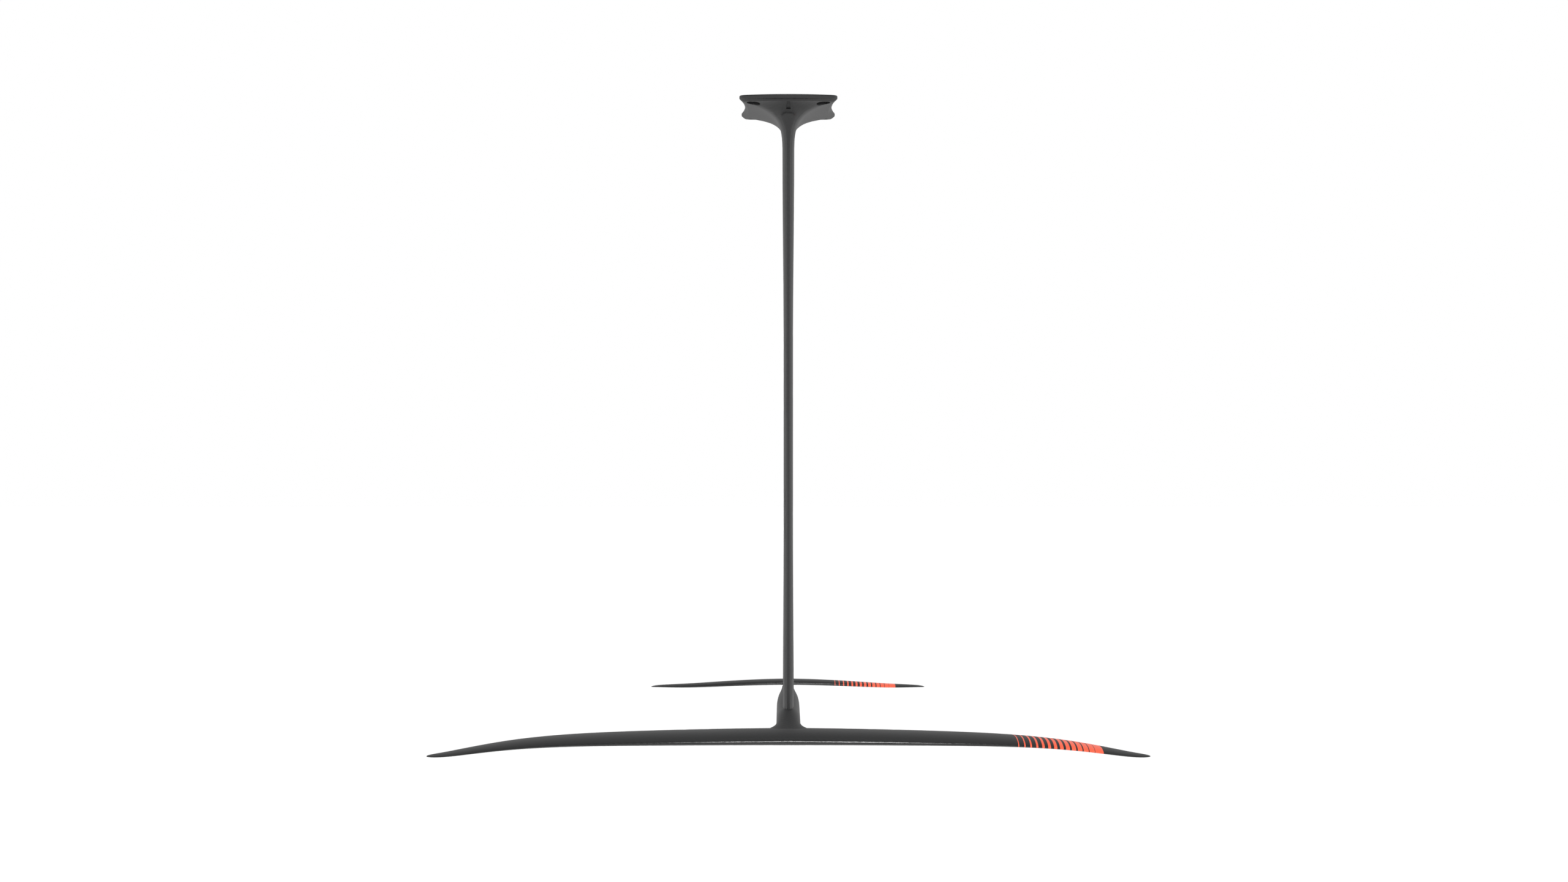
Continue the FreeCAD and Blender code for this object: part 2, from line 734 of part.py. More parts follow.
def root_flare(y, z):
    """How far the fillet to the wing stands out from the body's side at a height."""
    trailing = foot_nose() - S.wing_ahead + S.wing_chord
    fade = smooth_step(y, trailing - S.fillet_fade, trailing)
    top, under = wing_height(y, 1) - S.fillet_bury, wing_height(y, -1) + S.fillet_bury
    gap = max(0.0, z - top, under - z)
    return S.root_fillet * (1 - fade) * max(0.0, 1 - gap / S.root_fillet) ** FILLET_POWER


def round_loop(half, top, bottom, power, steps):
    """Points of a rounded section as (x, z), from the middle of the top round to the middle again."""
    middle, reach = (top + bottom) / 2, (top - bottom) / 2
    points = []
    for step in range(steps):
        turn = 2 * math.pi * step / steps
        across, up = math.sin(turn), math.cos(turn)
        size = (abs(across) ** power + abs(up) ** power) ** (-1 / power)
        points.append((half * size * across, middle + reach * size * up))
    return points


def centre_body():
    """The body that carries the front wing, from its buried nose to its flat back face."""
    front, level, back = foot_nose() - S.body_front, foot_nose() + S.body_level, body_end()
    rings = []
    for y in steps_between(front, level, BODY_STEPS):
        half, top, bottom = body_section(y)
        loop = round_loop(half, top, bottom, S.body_roundness, BODY_TURNS)
        rings.append([Vector(x * (1 + root_flare(y, z) / half), y, z) for x, z in loop])
    last = Part.Wire([smooth_curve(rings[-1], closed=True).toShape()])
    straight = Part.Face(last).extrude(Vector(0, back - level, 0))
    return skinned(rings).fuse(straight)


def mast_socket():
    """The pocket for the mast's tenon, as a cutter."""
    outline = blade_outline(S.mast_length, S.socket_gap)
    face = Part.Face(flat_wire(outline, socket_floor()))
    return face.extrude(Vector(0, 0, S.tenon_depth + S.body_height))


def spigot(grow=0.0):
    """The boom's square spigot, or with a clearance the socket for it."""
    width = S.spigot_width + 2 * grow
    start = body_end() - S.spigot_length - grow
    block = Part.makeBox(
        width,
        S.spigot_length + grow + OVERCUT,
        width,
        Vector(-width / 2, start, boom_axis() - width / 2),
    )
    long_edges = [e for e in block.Edges if abs(e.tangentAt(e.FirstParameter).y) > 0.9]
    return block.makeFillet(S.spigot_corner, long_edges)


def front_wing():
    """Front wing and centre body in one moulding, and the foam cores in its halves."""
    cores = {"wing_core_left": wing_core(-1), "wing_core_right": wing_core(1)}
    solid = as_solid(wing_solid("wing", S.wing_span).fuse(centre_body()))
    cutters = [mast_socket(), spigot(S.socket_gap)]
    under = body_belly() - OVERCUT
    for y in mast_bolt_places().values():
        hole = S.mast_bolt_radius + S.hole_gap
        cutters.append(upright_cylinder(hole, socket_floor() - under + OVERCUT, y, under))
        seat = S.cup_radius + S.bond_gap
        cutters.append(upright_cylinder(seat, cup_floor() + S.cup_height - under, y, under))
    for y in boom_bolt_places().values():
        hole = S.boom_bolt_radius + S.hole_gap
        cutters.append(upright_cylinder(hole, S.body_height / 2, y, under))
        cutters.append(countersink(S.boom_bolt_head, y, cup_floor(), 1))
        cutters.append(
            upright_cylinder(S.boom_bolt_head + S.hole_gap, cup_floor() - under, y, under)
        )
    keep("front_wing", as_solid(solid.cut(cutters + list(cores.values()))))
    for label, core in cores.items():
        keep(label, core)


def countersink(head, y, face, up):
    """A right-angled cone for a countersunk head whose flat lies on a face; up is the way it points."""
    radius = head + S.hole_gap
    return Part.makeCone(radius, 0, radius, Vector(0, y, face), Vector(0, 0, up))


def boom_section(y):
    """Half width, top and bottom of the tail boom at a place along the flow."""
    start, end = body_end(), boom_end()
    t = (y - start) / (end - start)
    fall = smooth_step(t, 0.0, BOOM_FALL_END)
    taper = smooth_step(t, 0.0, BOOM_TAPER_END) / smooth_step(1.0, 0.0, BOOM_TAPER_END)
    half = (S.body_width + (S.boom_tail_width - S.body_width) * taper) / 2
    tail_top = pad_face() + S.pad_cut
    tail_under = pad_face() - S.boom_tail_height
    top = body_top() + (tail_top - body_top()) * fall
    under = body_belly() + (tail_under - body_belly()) * fall
    return half, top, under


def boom_hull(inset=0.0, start=None, end=None):
    """The boom's outer form, or one skin inside it the form of its foam core."""
    first = body_end() if start is None else start
    last = boom_end() if end is None else end
    tail = S.boom_cap if end is None else 0.0
    rings = []
    for y in steps_between(first, last - tail, BOOM_STEPS):
        half, top, under = boom_section(y)
        rings.append(boom_ring(y, half - inset, top - inset, under + inset))
    for turn in CAP_TURNS if tail else ():
        y = last - tail + tail * math.sin(math.radians(turn))
        half, top, under = boom_section(y)
        shrink, middle = math.cos(math.radians(turn)), (top + under) / 2
        top, under = (middle + (level - middle) * shrink for level in (top, under))
        rings.append(boom_ring(y, half * shrink, top, under))
    return skinned(rings)


def boom_ring(y, half, top, under):
    """Points round one section of the boom."""
    return [Vector(x, y, z) for x, z in round_loop(half, top, under, S.body_roundness, BOOM_TURNS)]


def tail_boom():
    """The boom with its spigot and the pad for the stabiliser, and the foam core inside it."""
    pad_start = seat_front() - S.socket_gap
    core = boom_hull(S.boom_skin, body_end() + S.boom_core_front, pad_start - S.boom_core_rear)
    solid = as_solid(boom_hull().fuse(spigot()))
    top = body_top()
    cutters = [
        box_between(
            Vector(-S.body_width, pad_start, pad_face()),
            Vector(S.body_width, boom_end() + OVERCUT, top),
        ),
        core,
    ]
    for y in boom_bolt_places().values():
        bottom = boom_axis() - S.spigot_width
        hole = S.boom_bolt_radius + S.hole_gap
        cutters.append(upright_cylinder(hole, 2 * S.spigot_width, y, bottom))
        cutters.append(
            Part.makeCylinder(
                S.nut_radius + S.bond_gap,
                S.body_width,
                Vector(-S.body_width / 2, y, boom_axis()),
                Vector(1, 0, 0),
            )
        )
    for y in tail_bolt_places().values():
        radius, bottom = S.tail_insert_radius + S.bond_gap, pad_face() - S.tail_insert_length
        cutters.append(upright_cylinder(radius, S.tail_insert_length + OVERCUT, y, bottom))
    keep("tail_boom", as_solid(solid.cut(cutters)))
    keep("boom_core", core)


def stabilizer():
    """The stabiliser with the flat seat under its middle."""
    seat = box_between(
        Vector(-S.seat_width / 2, seat_front(), seat_face()),
        Vector(S.seat_width / 2, seat_front() + S.seat_length, tail_line()),
    )
    upright = [e for e in seat.Edges if abs(e.tangentAt(e.FirstParameter).z) > 0.9]
    seat = seat.makeFillet(S.seat_width * SEAT_ROUNDING, upright)
    solid = as_solid(wing_solid("tail", S.tail_span).fuse(seat))
    cutters = []
    for y in tail_bolt_places().values():
        hole = S.tail_bolt_radius + S.hole_gap
        high = tail_bolt_face()
        cutters.append(upright_cylinder(hole, S.tail_chord, y, seat_face() - OVERCUT))
        cutters.append(countersink(S.tail_bolt_head, y, high, -1))
        cutters.append(upright_cylinder(S.tail_bolt_head + S.hole_gap, S.tail_chord, y, high))
    keep("stabilizer", as_solid(solid.cut(cutters)))


def tail_bolt_face():
    """Height of the flat of the stabiliser bolts' heads, just under the skin at the rear bolt."""
    share = (tail_bolt_places()["rear"] - tail_nose()) / S.tail_chord
    return wing_surface("tail", 0.0, share, 1).z - S.head_sink


def tail_bolt_face_text():
    """The same height as an expression of the sheet."""
    share = "(Sizes.tail_bolt_front + Sizes.tail_bolt_pitch) / Sizes.tail_chord"
    return (
        "-Sizes.mast_length - Sizes.tail_below - Sizes.head_sink"
        f" + Sizes.edge_thick / 2 * {share}"
        f" + Sizes.tail_chord * Sizes.tail_thick * {half_thickness_text(share)}"
    )


# --- fasteners, inserts, nuts and shim, as part design bodies -------------------------------------


def origin_feature(body, role):
    """A plane or axis of the body's own origin."""
    return next(f for f in body.Origin.OriginFeatures if f.Role == role)


def new_body(label, x="0", y="0", z="0", turn=None):
    """A body with its own label whose place is bound to the sheet."""
    body = DOC.addObject("PartDesign::Body", label)
    body.Label = label
    if turn is not None:
        body.Placement = Placement(Vector(), turn)
    for axis, text in zip("xyz", (x, y, z)):
        body.setExpression(f"Placement.Base.{axis}", text)
    SOLIDS[label] = body
    return body


def new_sketch(body, name, role):
    """An empty sketch on one of the body's origin planes."""
    sketch = body.newObject("Sketcher::SketchObject", name)
    sketch.AttachmentSupport = [(origin_feature(body, role), "")]
    sketch.MapMode = "FlatFace"
    return sketch


def pin_corner(sketch, line, corner):
    """Fix the start of a line at a pair of expressions; a zero puts it on an axis."""
    for text, kind, axis in zip(corner, ("DistanceX", "DistanceY"), (-2, -1)):
        if text == "0":
            sketch.addConstraint(Sketcher.Constraint("PointOnObject", line, 1, axis))
            continue
        value = float(sketch.evalExpression(text))
        row = sketch.addConstraint(Sketcher.Constraint(kind, -1, 1, line, 1, value))
        sketch.setExpression(f"Constraints[{row}]", text)


def polygon_sketch(body, name, role, corners):
    """A closed outline of straight lines whose corners are pairs of expressions."""
    sketch = new_sketch(body, name, role)
    points = [
        Vector(*(0.0 if t == "0" else float(sketch.evalExpression(t)) for t in corner), 0)
        for corner in corners
    ]
    count = len(points)
    for i in range(count):
        sketch.addGeometry(Part.LineSegment(points[i], points[(i + 1) % count]))
    for i in range(count):
        sketch.addConstraint(Sketcher.Constraint("Coincident", i, 2, (i + 1) % count, 1))
    for i, corner in enumerate(corners):
        pin_corner(sketch, i, corner)
    return sketch


def revolve(body, sketch):
    """Turn a sketch once round its own vertical axis."""
    feature = body.newObject("PartDesign::Revolution", f"{body.Name}_turned")
    feature.Profile = sketch
    feature.ReferenceAxis = (sketch, ["V_Axis"])
    feature.Angle = 360
    DOC.recompute()
    return feature


def hexagon_sketch(body, name, across_flats):
    """A hexagon about the origin in the body's XY plane, sized across its flats."""
    sketch = new_sketch(body, name, "XY_Plane")
    radius = float(sketch.evalExpression(across_flats)) / math.sqrt(3)
    corners = [
        Vector(radius * math.cos(math.pi / 3 * k), radius * math.sin(math.pi / 3 * k), 0)
        for k in range(6)
    ]
    for k in range(6):
        sketch.addGeometry(Part.LineSegment(corners[k], corners[(k + 1) % 6]))
    circle = sketch.addGeometry(Part.Circle(Vector(), Vector(0, 0, 1), radius), True)
    for k in range(6):
        sketch.addConstraint(Sketcher.Constraint("Coincident", k, 2, (k + 1) % 6, 1))
        sketch.addConstraint(Sketcher.Constraint("PointOnObject", k, 1, circle))
    for k in range(5):
        sketch.addConstraint(Sketcher.Constraint("Equal", k, k + 1))
    sketch.addConstraint(Sketcher.Constraint("Coincident", circle, 3, -1, 1))
    sketch.addConstraint(Sketcher.Constraint("PointOnObject", 0, 1, -1))
    row = sketch.addConstraint(Sketcher.Constraint("Radius", circle, radius))
    sketch.setExpression(f"Constraints[{row}]", f"{across_flats} / sqrt(3)")
    return sketch


def pocket(body, sketch, depth, reverse=True):
    """Cut a sketch into the body and make sure that it took something away."""
    before = body.Shape.Volume
    feature = body.newObject("PartDesign::Pocket", f"{sketch.Name}_cut")
    feature.Profile = sketch
    feature.Reversed = reverse
    feature.setExpression("Length", depth)
    DOC.recompute()
    if not body.Shape.Volume < before:
        raise RuntimeError(f"{feature.Name} cut nothing")
    return feature


def countersunk_bolt(label, family, y, z, turn):
    """A countersunk bolt with a hexagon socket; its head's flat is at the body's origin."""
    radius, head, length = (f"Sizes.{family}_{part}" for part in ("radius", "head", "length"))
    body = new_body(label, y=y, z=z, turn=turn)
    tip = "Sizes.bolt_tip"
    corners = [
        ("0", "0"),
        (head, "0"),
        (radius, f"{head} - {radius}"),
        (radius, f"{length} - {tip}"),
        (f"{radius} - {tip}", length),
        ("0", length),
    ]
    revolve(body, polygon_sketch(body, f"{label}_profile", "XZ_Plane", corners))
    key = hexagon_sketch(body, f"{label}_key", f"Sizes.{family}_key")
    pocket(body, key, f"{head} * {KEY_DEPTH}")


def sleeve(label, bore, outer, height, blind, y, z):
    """A round insert with a bore from below; blind is the depth of the bore."""
    body = new_body(label, y=y, z=z)
    if blind == height:
        corners = [(bore, "0"), (outer, "0"), (outer, height), (bore, height)]
    else:
        corners = [(bore, "0"), (outer, "0"), (outer, height)]
        corners += [("0", height), ("0", blind), (bore, blind)]
    revolve(body, polygon_sketch(body, f"{label}_profile", "XZ_Plane", corners))


def cup_washer(label, y):
    """A bonded cup that takes the bolt's head on a cone."""
    head, shank = "Sizes.mast_bolt_head + Sizes.hole_gap", "Sizes.mast_bolt_radius + Sizes.hole_gap"
    corners = [
        (head, "0"),
        ("Sizes.cup_radius", "0"),
        ("Sizes.cup_radius", "Sizes.cup_height"),
        (shank, "Sizes.cup_height"),
        (shank, f"({head}) - ({shank})"),
    ]
    body = new_body(label, y=y, z="Sizes.cup_sink - Sizes.mast_length - Sizes.body_height")
    revolve(body, polygon_sketch(body, f"{label}_profile", "XZ_Plane", corners))


def barrel_nut(label, y):
    """A cross dowel: a cylinder lying across the boom, with a threaded hole through its middle."""
    body = new_body(
        label,
        x="-Sizes.nut_length / 2",
        y=y,
        z="-Sizes.mast_length - Sizes.body_height / 2",
        turn=Rotation(Vector(0, 1, 0), 90),
    )
    radius, length = "Sizes.nut_radius", "Sizes.nut_length"
    corners = [("0", "0"), (radius, "0"), (radius, length), ("0", length)]
    revolve(body, polygon_sketch(body, f"{label}_profile", "XZ_Plane", corners))
    hole = new_sketch(body, f"{label}_hole", "YZ_Plane")
    radius = float(hole.evalExpression("Sizes.boom_bolt_radius + Sizes.thread_gap"))
    middle = float(hole.evalExpression("Sizes.nut_length / 2"))
    circle = hole.addGeometry(Part.Circle(Vector(0, middle, 0), Vector(0, 0, 1), radius))
    hole.addConstraint(Sketcher.Constraint("PointOnObject", circle, 3, -2))
    row = hole.addConstraint(Sketcher.Constraint("DistanceY", -1, 1, circle, 3, middle))
    hole.setExpression(f"Constraints[{row}]", "Sizes.nut_length / 2")
    row = hole.addConstraint(Sketcher.Constraint("Radius", circle, radius))
    hole.setExpression(f"Constraints[{row}]", "Sizes.boom_bolt_radius + Sizes.thread_gap")
    through = body.newObject("PartDesign::Pocket", f"{label}_through")
    through.Profile = hole
    through.Midplane = True
    through.setExpression("Length", "Sizes.nut_radius * 4")
    DOC.recompute()


def shim():
    """The flat spacer between stabiliser and boom, with round ends and two bolt holes."""
    body = new_body(
        "stabilizer_shim",
        y=f"{tail_nose_text()} + (Sizes.tail_chord - Sizes.seat_length) / 2",
        z="-Sizes.mast_length - Sizes.tail_below - Sizes.tail_thick * Sizes.tail_chord / 2"
        " - Sizes.seat_step - Sizes.shim_thick",
    )
    half, length = "Sizes.seat_width / 2", "Sizes.seat_length"
    outline = new_sketch(body, "shim_outline", "XY_Plane")
    radius = float(outline.evalExpression(half))
    end = float(outline.evalExpression(length)) - radius
    outline.addGeometry(Part.LineSegment(Vector(radius, radius, 0), Vector(radius, end, 0)))
    arc = Part.Circle(Vector(0, end, 0), Vector(0, 0, 1), radius)
    outline.addGeometry(Part.ArcOfCircle(arc, 0, math.pi))
    outline.addGeometry(Part.LineSegment(Vector(-radius, end, 0), Vector(-radius, radius, 0)))
    arc = Part.Circle(Vector(0, radius, 0), Vector(0, 0, 1), radius)
    outline.addGeometry(Part.ArcOfCircle(arc, math.pi, 2 * math.pi))
    for first, second in ((0, 1), (1, 2), (2, 3), (3, 0)):
        outline.addConstraint(Sketcher.Constraint("Tangent", first, 2, second, 1))
    outline.addConstraint(Sketcher.Constraint("PointOnObject", 1, 3, -2))
    outline.addConstraint(Sketcher.Constraint("PointOnObject", 3, 3, -2))
    for kind, args, text, value in (
        ("Radius", (3,), half, radius),
        ("DistanceY", (-1, 1, 3, 3), half, radius),
        ("DistanceY", (-1, 1, 1, 3), f"{length} - {half}", end),
    ):
        row = outline.addConstraint(Sketcher.Constraint(kind, *args, value))
        outline.setExpression(f"Constraints[{row}]", text)
    pad = body.newObject("PartDesign::Pad", "shim_pad")
    pad.Profile = outline
    pad.setExpression("Length", "Sizes.shim_thick")
    DOC.recompute()
    first = "Sizes.tail_bolt_front - (Sizes.tail_chord - Sizes.seat_length) / 2"
    holes = new_sketch(body, "shim_holes", "XY_Plane")
    for text in (first, f"{first} + Sizes.tail_bolt_pitch"):
        place = float(holes.evalExpression(text))
        size = "Sizes.tail_bolt_radius + Sizes.hole_gap"
        value = float(holes.evalExpression(size))
        circle = holes.addGeometry(Part.Circle(Vector(0, place, 0), Vector(0, 0, 1), value))
        holes.addConstraint(Sketcher.Constraint("PointOnObject", circle, 3, -2))
        row = holes.addConstraint(Sketcher.Constraint("DistanceY", -1, 1, circle, 3, place))
        holes.setExpression(f"Constraints[{row}]", text)
        row = holes.addConstraint(Sketcher.Constraint("Radius", circle, value))
        holes.setExpression(f"Constraints[{row}]", size)
    pocket(body, holes, "Sizes.shim_thick")


def fasteners():
    """Every bolt, insert, cup washer and nut, and the shim."""
    turned_over = Rotation(Vector(1, 0, 0), 180)
    top = "-Sizes.mast_length"
    floor = "Sizes.cup_sink - Sizes.mast_length - Sizes.body_height"
    steps = {"front": "", "rear": " + Sizes.{}_bolt_pitch"}
    for end in ("front", "rear"):
        y = "Sizes.mast_bolt_front - Sizes.foot_ahead" + steps[end].format("mast")
        countersunk_bolt(f"mast_bolt_{end}", "mast_bolt", y, floor, Rotation())
        cup_washer(f"mast_cup_{end}", y)
        sleeve(
            f"mast_insert_{end}",
            "Sizes.mast_bolt_radius + Sizes.thread_gap",
            "Sizes.mast_insert_radius",
            "Sizes.mast_insert_length",
            "Sizes.mast_insert_depth",
            y,
            f"{top} - Sizes.tenon_depth",
        )
        y = (
            "Sizes.chord_foot - Sizes.foot_ahead + Sizes.body_rear"
            " - Sizes.boom_bolt_inset - Sizes.boom_bolt_pitch" + steps[end].format("boom")
        )
        countersunk_bolt(f"boom_bolt_{end}", "boom_bolt", y, floor, Rotation())
        barrel_nut(f"boom_nut_{end}", y)
        y = f"{tail_nose_text()} + Sizes.tail_bolt_front" + steps[end].format("tail")
        countersunk_bolt(f"stabilizer_bolt_{end}", "tail_bolt", y, tail_bolt_face_text(), turned_over)
        sleeve(
            f"stabilizer_insert_{end}",
            "Sizes.tail_bolt_radius + Sizes.thread_gap",
            "Sizes.tail_insert_radius",
            "Sizes.tail_insert_length",
            "Sizes.tail_insert_length",
            y,
            f"{top} - Sizes.tail_below - Sizes.tail_thick * Sizes.tail_chord / 2"
            " - Sizes.seat_step - Sizes.shim_thick - Sizes.tail_insert_length",
        )
    shim()


# --- build, check and write -----------------------------------------------------------------------


def write_parts():
    """Check every object and every sub-part, then write one STEP file for each sub-part."""
    DOC.recompute()
    for item in DOC.Objects:
        if "Invalid" in item.State or "Error" in item.State:
            raise RuntimeError(f"{item.Label} failed: {item.State}")
    for label, item in SOLIDS.items():
        shape = item.Shape
        if shape.isNull() or not shape.isValid() or not shape.Solids:
            raise RuntimeError(f"{label} has no valid solid")
    os.makedirs("parts", exist_ok=True)
    for label, item in SOLIDS.items():
        item.Shape.exportStep(f"parts/{label}.step")
        print(f"{label}: {item.Shape.Volume / 1000:.2f} cm3, {len(item.Shape.Solids)} solid")


mast()
front_wing()
tail_boom()
stabilizer()
fasteners()
write_parts()
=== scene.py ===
"""Looks of the hydrofoil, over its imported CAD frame. Metres, in the part's own frame."""

import math

import bpy
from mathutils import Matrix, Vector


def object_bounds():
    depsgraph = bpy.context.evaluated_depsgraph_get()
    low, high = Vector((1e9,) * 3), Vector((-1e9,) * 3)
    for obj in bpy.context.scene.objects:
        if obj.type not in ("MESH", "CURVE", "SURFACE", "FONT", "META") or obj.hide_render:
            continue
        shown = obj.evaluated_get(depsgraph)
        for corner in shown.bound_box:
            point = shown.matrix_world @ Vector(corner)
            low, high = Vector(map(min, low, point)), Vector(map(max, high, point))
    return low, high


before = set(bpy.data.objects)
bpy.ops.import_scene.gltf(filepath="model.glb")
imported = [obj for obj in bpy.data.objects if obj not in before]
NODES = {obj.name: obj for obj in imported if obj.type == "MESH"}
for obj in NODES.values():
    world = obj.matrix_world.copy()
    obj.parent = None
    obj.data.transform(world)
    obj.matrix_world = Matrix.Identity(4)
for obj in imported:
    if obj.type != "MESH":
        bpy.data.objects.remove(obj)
CAD_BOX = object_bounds()

# Part's frame: +X right, +Y along the flow, +Z up, origin on the board plate.
CAMERA_PLACE = (-0.00565, -3.2945, -0.443)
CAMERA_LENS = 57.42
SENSOR_WIDTH = 36.0
FLOOR_BELOW = 0.475
FLOOR_SIZE = 60.0
FLOOR_WHITE = ((0.99, 0.99, 0.99), (1.0, 1.0, 1.0))

# Surround and key light: angles in degrees above the horizon, or to the right; levels against white.
WALL_TOP, CEILING_FROM, CEILING_LEVEL = 11.0, 30.0, 0.3
KEY_LEVEL, KEY_BREADTH, KEY_HEIGHT, KEY_TURN = 0.85, 24.0, 54.0, 6.0

# Painted bars on the right half of each wing: inner edge of the first bar, distance from bar to bar,
# width of the first bar, growth of each next bar, and width of the last one.
BAR_COUNT = 14
BARS = {
    "front_wing": (0.28595, 0.007615, 0.0011, 0.00049, 0.0108),
    "stabilizer": (0.06900, 0.006190, 0.0008, 0.00043, 0.0096),
}

# Colours, with the shades of each that the slow clouds run between; on carbon the painted sheen of the
# warp tows runs between them too.
CARBON_BLACK, CARBON_SHADES = (0.0115, 0.0118, 0.0122), (0.86, 1.22)
PAINT_ORANGE, PAINT_SHADE = (0.93, 0.118, 0.053), 0.95
EDGE_GREY = (0.022, 0.022, 0.023)

# Twill weave: width and relief of a tow, tows in one repeat, and how far the warp lies over in it.
TOW_WIDTH, TOW_DEPTH, TOW_STRENGTH = 0.0021, 0.00004, 0.25
TWILL_REPEAT, TWILL_OVER = 4.0, 1.5
# The warp tows on top are painted paler by the first share (a painted sheen along the fibres) and made
# rougher by the second.
WARP_SHEEN_SHARE, WARP_ROUGH = 0.35, 0.03

# Roughness of lacquer and paint, and how much smoother rubbed edges and leading edges are.
CARBON_ROUGH = (0.54, 0.60)
PAINT_ROUGH = (0.46, 0.52)
EDGE_RADIUS, EDGE_POLISH = 0.0006, 0.10
LEADING_POLISH = 0.38
LACQUER_IOR = 1.5

# Worn edges, by how well the rounded normal agrees with the sharp one (1 is fully), and leading edges,
# by the normal's share along the flow (-1 faces it squarely): where each starts and where it is full.
WORN_FROM, WORN_FULL = 0.97, 0.75
LEADING_FROM, LEADING_FULL = -0.35, -0.75

# The smaller pieces: darkest shade of each material against its colour, and its roughness.
STEEL_SHADE, NYLON_SHADE, FOAM_SHADE = 0.9, 0.85, 0.8
STEEL_SMOOTHER, STEEL_DULLER = 0.05, 0.07
NYLON_ROUGH, FOAM_ROUGH = (0.48, 0.62), 0.95

# Sockets of a Mix node for share, first and second value, and for the result.
NUMBER_SLOTS, NUMBER_RESULT = (0, 2, 3), 0
COLOR_SLOTS, COLOR_RESULT = (0, 6, 7), 2


# --- node helpers ---------------------------------------------------------------------------------


def new_material(name):
    """A node material with a Principled shader; returns material, tree and shader."""
    material = bpy.data.materials.new(name)
    material.use_nodes = True
    tree = material.node_tree
    return material, tree, tree.nodes["Principled BSDF"]


def feed(tree, slot, value):
    """Put a number, a colour or another node's output into a socket."""
    if hasattr(value, "links"):
        tree.links.new(value, slot)
    elif isinstance(value, tuple) and len(value) == 3 and len(slot.default_value) == 4:
        slot.default_value = (*value, 1.0)
    else:
        slot.default_value = value


def calc(tree, operation, *values):
    """A Math node fed by sockets or numbers; returns its output."""
    node = tree.nodes.new("ShaderNodeMath")
    node.operation = operation
    for slot, value in zip(node.inputs, values):
        feed(tree, slot, value)
    return node.outputs[0]


def object_place(tree):
    """The object coordinates as one vector socket, in metres."""
    return tree.nodes.new("ShaderNodeTexCoord").outputs["Object"]


def split_axes(tree, vector):
    """The three parts of a vector socket."""
    split = tree.nodes.new("ShaderNodeSeparateXYZ")
    tree.links.new(vector, split.inputs[0])
    return split.outputs


def choose(tree, share, first, second):
    """A number mixed between two numbers or sockets."""
    node = tree.nodes.new("ShaderNodeMix")
    for slot, value in zip(NUMBER_SLOTS, (share, first, second)):
        feed(tree, node.inputs[slot], value)
    return node.outputs[NUMBER_RESULT]


def surface_axes(tree):
    """Two coordinates that run along the surface, picked by the way it faces."""
    place = split_axes(tree, object_place(tree))
    normal = tree.nodes.new("ShaderNodeTexCoord").outputs["Normal"]
    x, y, z = (calc(tree, "ABSOLUTE", part) for part in split_axes(tree, normal))
    sideways = calc(tree, "GREATER_THAN", x, calc(tree, "MAXIMUM", y, z))
    upward = calc(tree, "GREATER_THAN", z, calc(tree, "MAXIMUM", x, y))
    return choose(tree, sideways, place["X"], place["Y"]), choose(tree, upward, place["Z"], place["Y"])


def fade(tree, value, start, end, low=0.0, high=1.0):
    """A smooth change from low to high while a value goes from start to end."""
    node = tree.nodes.new("ShaderNodeMapRange")
    node.interpolation_type = "SMOOTHSTEP"
    tree.links.new(value, node.inputs["Value"])
    for name, number in (("From Min", start), ("From Max", end), ("To Min", low), ("To Max", high)):
        node.inputs[name].default_value = number
    return node.outputs[0]


def leading(tree):
    """1 on the leading edges, which face the flow, 0 on the rest."""
    normal = tree.nodes.new("ShaderNodeTexCoord").outputs["Normal"]
    return fade(tree, split_axes(tree, normal)["Y"], LEADING_FROM, LEADING_FULL)


def worn_edge(tree, radius):
    """1 along sharp outer edges, 0 away from them."""
    soft = tree.nodes.new("ShaderNodeBevel")
    soft.inputs["Radius"].default_value = radius
    dot = tree.nodes.new("ShaderNodeVectorMath")
    dot.operation = "DOT_PRODUCT"
    tree.links.new(soft.outputs[0], dot.inputs[0])
    tree.links.new(tree.nodes.new("ShaderNodeNewGeometry").outputs["Normal"], dot.inputs[1])
    return fade(tree, dot.outputs["Value"], WORN_FROM, WORN_FULL)


def noise(tree, scale, detail=2.0, stretch=(1, 1, 1)):
    """A noise value on object coordinates, stretched along the axes."""
    mapping = tree.nodes.new("ShaderNodeMapping")
    mapping.inputs["Scale"].default_value = stretch
    texture = tree.nodes.new("ShaderNodeTexNoise")
    texture.inputs["Scale"].default_value = scale
    texture.inputs["Detail"].default_value = detail
    tree.links.new(object_place(tree), mapping.inputs[0])
    tree.links.new(mapping.outputs[0], texture.inputs[0])
    return texture.outputs[0]


def spread(tree, value, low, high):
    """A value from 0 to 1 spread between two numbers."""
    node = tree.nodes.new("ShaderNodeMapRange")
    tree.links.new(value, node.inputs["Value"])
    node.inputs["To Min"].default_value = low
    node.inputs["To Max"].default_value = high
    return node.outputs[0]


def shaded(color, factor):
    """A colour made darker or paler."""
    return tuple(factor * value for value in color)


def mix(tree, share, first, second):
    """A colour mixed between two colours or sockets."""
    node = tree.nodes.new("ShaderNodeMix")
    node.data_type = "RGBA"
    for slot, value in zip(COLOR_SLOTS, (share, first, second)):
        feed(tree, node.inputs[slot], value)
    return node.outputs[COLOR_RESULT]


def bump(tree, height, distance, strength=1.0, after=None):
    """A normal that follows a height socket."""
    node = tree.nodes.new("ShaderNodeBump")
    node.inputs["Strength"].default_value = strength
    node.inputs["Distance"].default_value = distance
    tree.links.new(height, node.inputs["Height"])
    if after is not None:
        tree.links.new(after, node.inputs["Normal"])
    return node.outputs[0]


# --- materials ------------------------------------------------------------------------------------


